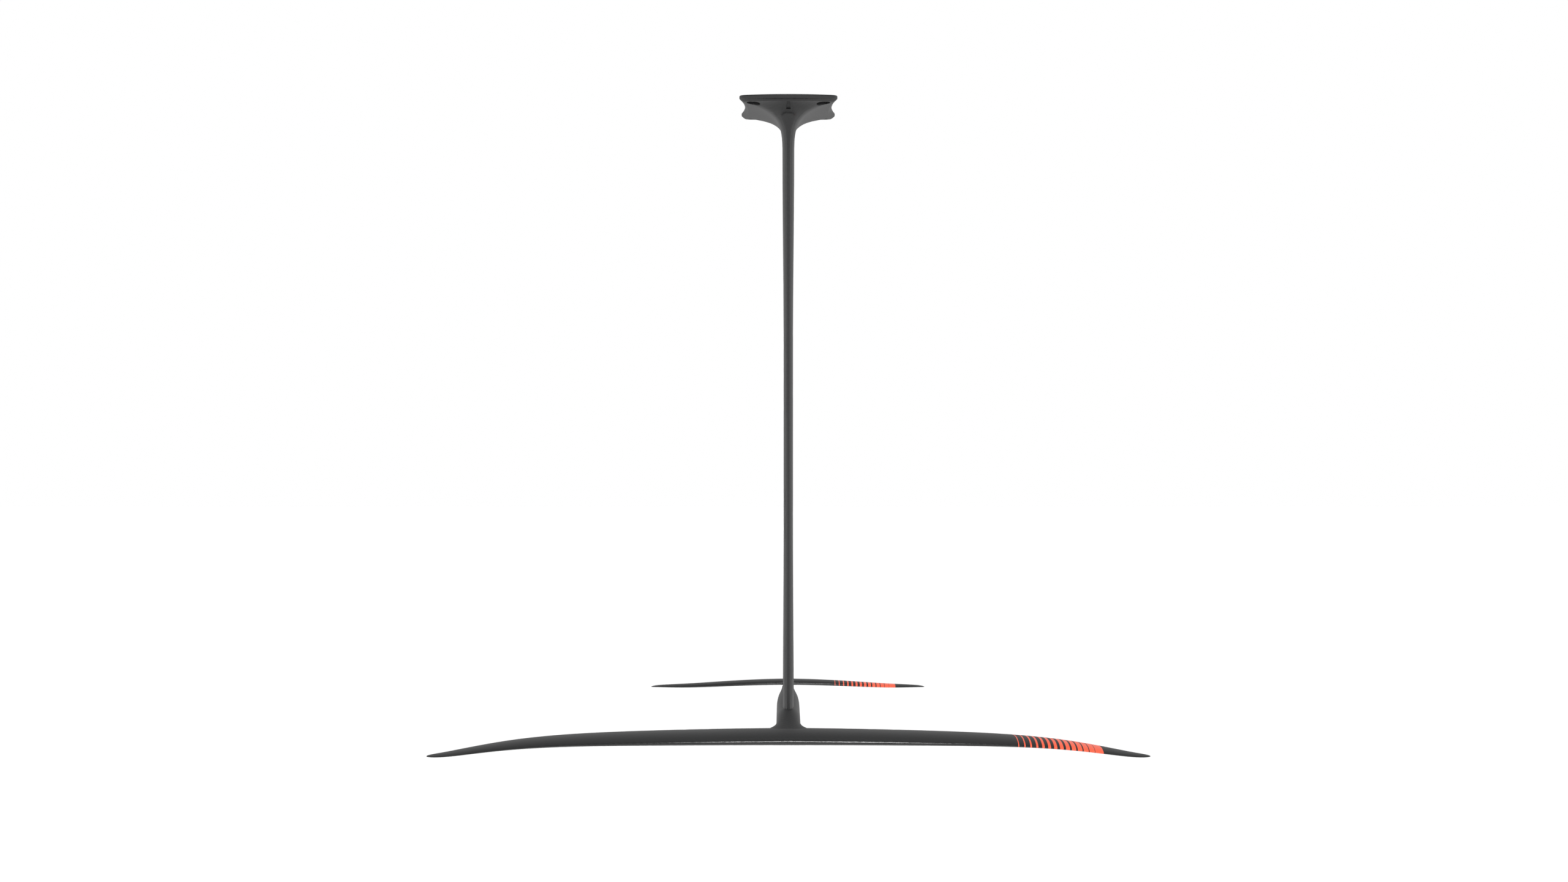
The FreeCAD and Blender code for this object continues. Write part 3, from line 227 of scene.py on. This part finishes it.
def twill(tree, across, along):
    """A two-over, two-under weave on two coordinates: its height, and 1 where the warp is on top."""
    u = calc(tree, "DIVIDE", across, TOW_WIDTH)
    v = calc(tree, "DIVIDE", along, TOW_WIDTH)
    step = calc(tree, "ADD", calc(tree, "FLOOR", u), calc(tree, "FLOOR", v))
    warp = calc(tree, "LESS_THAN", calc(tree, "FLOORED_MODULO", step, TWILL_REPEAT), TWILL_OVER)
    crowns = [
        calc(tree, "ABSOLUTE", calc(tree, "SINE", calc(tree, "MULTIPLY", w, math.pi))) for w in (u, v)
    ]
    first = calc(tree, "MULTIPLY", crowns[0], warp)
    second = calc(tree, "MULTIPLY", crowns[1], calc(tree, "SUBTRACT", 1.0, warp))
    return calc(tree, "ADD", first, second), warp


def carbon_coat(tree, shader):
    """Satin black laminate: weave under lacquer with a painted sheen that makes the warp tows paler,
    slow unevenness, fine matt grain, rubbed edges.
    """
    height, warp = twill(tree, *surface_axes(tree))
    cloud = noise(tree, scale=14.0)
    grain = noise(tree, scale=1400.0, detail=1.0)
    deep, pale = (shaded(CARBON_BLACK, factor) for factor in CARBON_SHADES)
    # Colour share: the slow random clouds, plus a painted sheen that lifts the warp tows on top.
    slow = calc(tree, "MULTIPLY", cloud, 1.0 - WARP_SHEEN_SHARE)
    share = calc(tree, "MULTIPLY_ADD", warp, WARP_SHEEN_SHARE, slow)
    edge = worn_edge(tree, EDGE_RADIUS)
    color = mix(tree, edge, mix(tree, share, deep, pale), EDGE_GREY)
    on_warp = calc(tree, "MULTIPLY", warp, WARP_ROUGH)
    rough = calc(tree, "ADD", spread(tree, cloud, *CARBON_ROUGH), on_warp)
    rough = calc(tree, "MULTIPLY_ADD", edge, -EDGE_POLISH, rough)
    rough = calc(tree, "MULTIPLY_ADD", leading(tree), -LEADING_POLISH, rough)
    shader.inputs["IOR"].default_value = LACQUER_IOR
    normal = bump(tree, height, TOW_DEPTH, TOW_STRENGTH)
    normal = bump(tree, grain, distance=0.00001, strength=0.5, after=normal)
    return color, rough, normal


def carbon(name):
    """Bare carbon."""
    material, tree, shader = new_material(name)
    color, rough, normal = carbon_coat(tree, shader)
    feed(tree, shader.inputs["Base Color"], color)
    feed(tree, shader.inputs["Roughness"], rough)
    feed(tree, shader.inputs["Normal"], normal)
    return material


def bar_mask(tree, x, first, pitch, width, growth, last):
    """1 on the painted bars: even steps from bar to bar, each bar wider than the one before."""
    steps = calc(tree, "DIVIDE", calc(tree, "SUBTRACT", x, first), pitch)
    number = calc(tree, "MINIMUM", calc(tree, "FLOOR", steps), BAR_COUNT - 1.0)
    offset = calc(tree, "MULTIPLY", calc(tree, "SUBTRACT", steps, number), pitch)
    wide = calc(tree, "MULTIPLY_ADD", number, growth, width)
    is_last = calc(tree, "GREATER_THAN", number, BAR_COUNT - 1.5)
    wide = calc(tree, "MULTIPLY_ADD", is_last, last - width - growth * (BAR_COUNT - 1), wide)
    inside = calc(tree, "LESS_THAN", offset, wide)
    return calc(tree, "MULTIPLY", inside, calc(tree, "GREATER_THAN", steps, 0.0))


def painted_carbon(name, bars):
    """Carbon with the orange bars: a paint film on top of the weave, smoother than the lacquer."""
    material, tree, shader = new_material(name)
    color, rough, normal = carbon_coat(tree, shader)
    mask = bar_mask(tree, split_axes(tree, object_place(tree))["X"], *bars)
    cloud = noise(tree, scale=40.0)
    orange = mix(tree, cloud, shaded(PAINT_ORANGE, PAINT_SHADE), PAINT_ORANGE)
    feed(tree, shader.inputs["Base Color"], mix(tree, mask, color, orange))
    painted = spread(tree, cloud, *PAINT_ROUGH)
    feed(tree, shader.inputs["Roughness"], choose(tree, mask, rough, painted))
    film = bump(tree, mask, distance=0.00005, strength=0.6, after=normal)
    feed(tree, shader.inputs["Normal"], film)
    return material


def steel(name, shade, rough):
    """Turned steel: fine rings about the upright axis and a slight cloud of dulling."""
    material, tree, shader = new_material(name)
    rings = noise(tree, scale=900.0, detail=1.0, stretch=(0.15, 0.15, 6.0))
    cloud = noise(tree, scale=220.0)
    color = mix(tree, cloud, shaded(shade, STEEL_SHADE), shade)
    feed(tree, shader.inputs["Base Color"], color)
    dulled = spread(tree, cloud, rough - STEEL_SMOOTHER, rough + STEEL_DULLER)
    feed(tree, shader.inputs["Roughness"], dulled)
    shader.inputs["Metallic"].default_value = 1.0
    feed(tree, shader.inputs["Normal"], bump(tree, rings, distance=0.00001, strength=0.5))
    return material


def nylon(name, shade):
    """Moulded plastic with a fine spark-eroded grain."""
    material, tree, shader = new_material(name)
    grain = noise(tree, scale=1600.0)
    cloud = noise(tree, scale=60.0)
    feed(tree, shader.inputs["Base Color"], mix(tree, cloud, shaded(shade, NYLON_SHADE), shade))
    feed(tree, shader.inputs["Roughness"], spread(tree, grain, *NYLON_ROUGH))
    feed(tree, shader.inputs["Normal"], bump(tree, grain, distance=0.00003, strength=0.6))
    return material


def foam(name, shade):
    """Closed-cell foam: small cells, each pitted and darker towards its middle."""
    material, tree, shader = new_material(name)
    cells = tree.nodes.new("ShaderNodeTexVoronoi")
    cells.inputs["Scale"].default_value = 1300.0
    tree.links.new(object_place(tree), cells.inputs["Vector"])
    color = mix(tree, cells.outputs["Distance"], shaded(shade, FOAM_SHADE), shade)
    feed(tree, shader.inputs["Base Color"], color)
    shader.inputs["Roughness"].default_value = FOAM_ROUGH
    pits = bump(tree, cells.outputs["Distance"], distance=0.0002, strength=0.8)
    feed(tree, shader.inputs["Normal"], pits)
    return material


# --- looks ----------------------------------------------------------------------------------------


def dress(material, *nodes):
    """Give CAD nodes their material."""
    for node in nodes:
        mesh = NODES[node].data
        mesh.materials.clear()
        mesh.materials.append(material)


def both_ends(*stems):
    """The names of the front and rear copies of pieces."""
    return [f"{stem}_{end}" for stem in stems for end in ("front", "rear")]


dress(carbon("mast_carbon"), "mast")
dress(carbon("boom_carbon"), "tail_boom")
dress(painted_carbon("wing_carbon", BARS["front_wing"]), "front_wing")
dress(painted_carbon("stabilizer_carbon", BARS["stabilizer"]), "stabilizer")
dress(
    steel("bolt_steel", (0.56, 0.55, 0.53), 0.30),
    *both_ends("mast_bolt", "boom_bolt", "stabilizer_bolt"),
)
dress(steel("cup_steel", (0.42, 0.42, 0.42), 0.36), *both_ends("mast_cup"))
dress(
    steel("insert_steel", (0.60, 0.50, 0.34), 0.38),
    *both_ends("mast_insert", "stabilizer_insert", "boom_nut"),
)
dress(nylon("shim_nylon", (0.022, 0.022, 0.024)), "stabilizer_shim")
dress(
    foam("core_foam", (0.80, 0.74, 0.52)),
    *both_ends("mast_core"), "wing_core_left", "wing_core_right", "boom_core",
)


# --- floor, background, light and camera ----------------------------------------------------------


def floor():
    """A wide white floor that keeps the shadow."""
    low = CAD_BOX[0][2] - FLOOR_BELOW
    bpy.ops.mesh.primitive_plane_add(size=FLOOR_SIZE, location=(0, 0, low))
    plane = bpy.context.object
    plane.name = "floor"
    material, tree, shader = new_material("floor_white")
    dust = noise(tree, scale=3.0)
    feed(tree, shader.inputs["Base Color"], mix(tree, dust, *FLOOR_WHITE))
    shader.inputs["Roughness"].default_value = 1.0
    shader.inputs["Specular IOR Level"].default_value = 0.0
    plane.data.materials.append(material)


def surround():
    """White walls all round up to WALL_TOP, and a dimmer ceiling above CEILING_FROM."""
    world = bpy.data.worlds.new("studio")
    bpy.context.scene.world = world
    world.use_nodes = True
    tree = world.node_tree
    way = split_axes(tree, tree.nodes.new("ShaderNodeTexCoord").outputs["Generated"])
    rise = [math.sin(math.radians(angle)) for angle in (WALL_TOP, CEILING_FROM)]
    background = tree.nodes["Background"]
    background.inputs["Color"].default_value = (1, 1, 1, 1)
    tree.links.new(fade(tree, way["Z"], *rise, 1.0, CEILING_LEVEL), background.inputs["Strength"])


def key_light():
    """One soft key from high in front, a little to the right."""
    data = bpy.data.lights.new("key", "SUN")
    data.energy = KEY_LEVEL * math.pi
    data.angle = math.radians(KEY_BREADTH)
    lamp = bpy.data.objects.new("key", data)
    lamp.rotation_euler = (math.radians(90 - KEY_HEIGHT), 0, math.radians(KEY_TURN))
    bpy.context.collection.objects.link(lamp)


def camera():
    """The picture's camera: level, straight ahead along the flow."""
    data = bpy.data.cameras.new("camera")
    data.lens = CAMERA_LENS
    data.sensor_width = SENSOR_WIDTH
    body = bpy.data.objects.new("camera", data)
    body.location = CAMERA_PLACE
    body.rotation_euler = (math.radians(90), 0, 0)
    bpy.context.collection.objects.link(body)
    bpy.context.scene.camera = body


floor()
surround()
key_light()
camera()
bpy.context.scene.view_settings.view_transform = "Standard"
